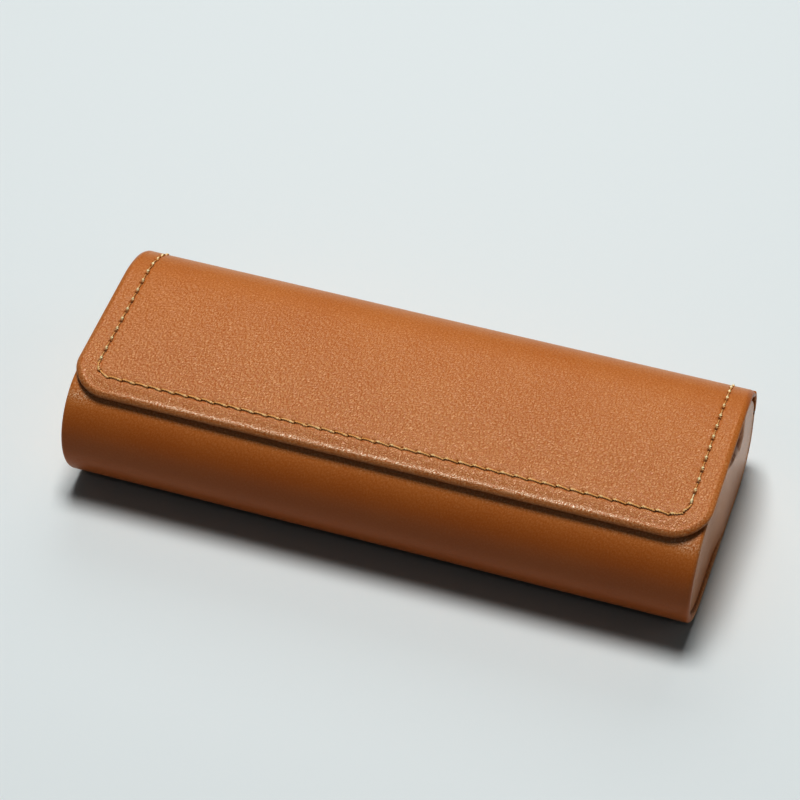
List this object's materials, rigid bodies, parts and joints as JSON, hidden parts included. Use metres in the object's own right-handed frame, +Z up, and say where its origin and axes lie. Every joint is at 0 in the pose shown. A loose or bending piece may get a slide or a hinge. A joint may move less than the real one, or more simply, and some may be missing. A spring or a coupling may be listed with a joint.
{
  "type": "eyeglasses case",
  "caption": "Hard eyeglasses case wrapped in smooth leather, with recessed end panels and a stitched magnetic flap on a leather hinge.",
  "frame": {"origin": "middle of the base of the case's box, on the surface that it stands on", "axes": "+X along the case, +Y towards the hinge at the rear, +Z up; the flap's free edge faces -Y"},
  "size_m": [0.1626, 0.066, 0.0377],
  "materials": {
    "cover_leather": "smooth caramel leather, satin, fine grain",
    "end_leather": "smooth caramel leather, satin, almost no grain",
    "lining": "short-napped brown flannel",
    "board": "matt grey board",
    "tape": "plain woven cotton tape",
    "thread": "golden polyester thread, slightly glossy",
    "magnet": "nickel-plated disc"
  },
  "bodies": {
    "case": {"outer_cover": "cover_leather", "shell_board": "board", "body_lining": "lining", "end_cover_left": "end_leather", "end_cover_right": "end_leather", "end_board_left": "board", "end_board_right": "board", "end_lining_left": "lining", "end_lining_right": "lining", "lip_magnet_left": "magnet", "lip_magnet_right": "magnet", "hinge_cover": "cover_leather", "hinge_tape": "tape", "hinge_lining": "lining"},
    "flap": {"flap_cover": "cover_leather", "flap_board": "board", "flap_lining": "lining", "flap_magnet_left": "magnet", "flap_magnet_right": "magnet", "flap_stitching": "thread"}
  },
  "joints": [
    {"name": "flap_hinge", "type": "hinge", "parent": "case", "child": "flap", "pos_m": [0, 0.0311, 0.0247], "axis": [-1, 0, 0], "range_deg": [0, 170], "deforming": ["hinge_cover", "hinge_tape", "hinge_lining"]}
  ]
}
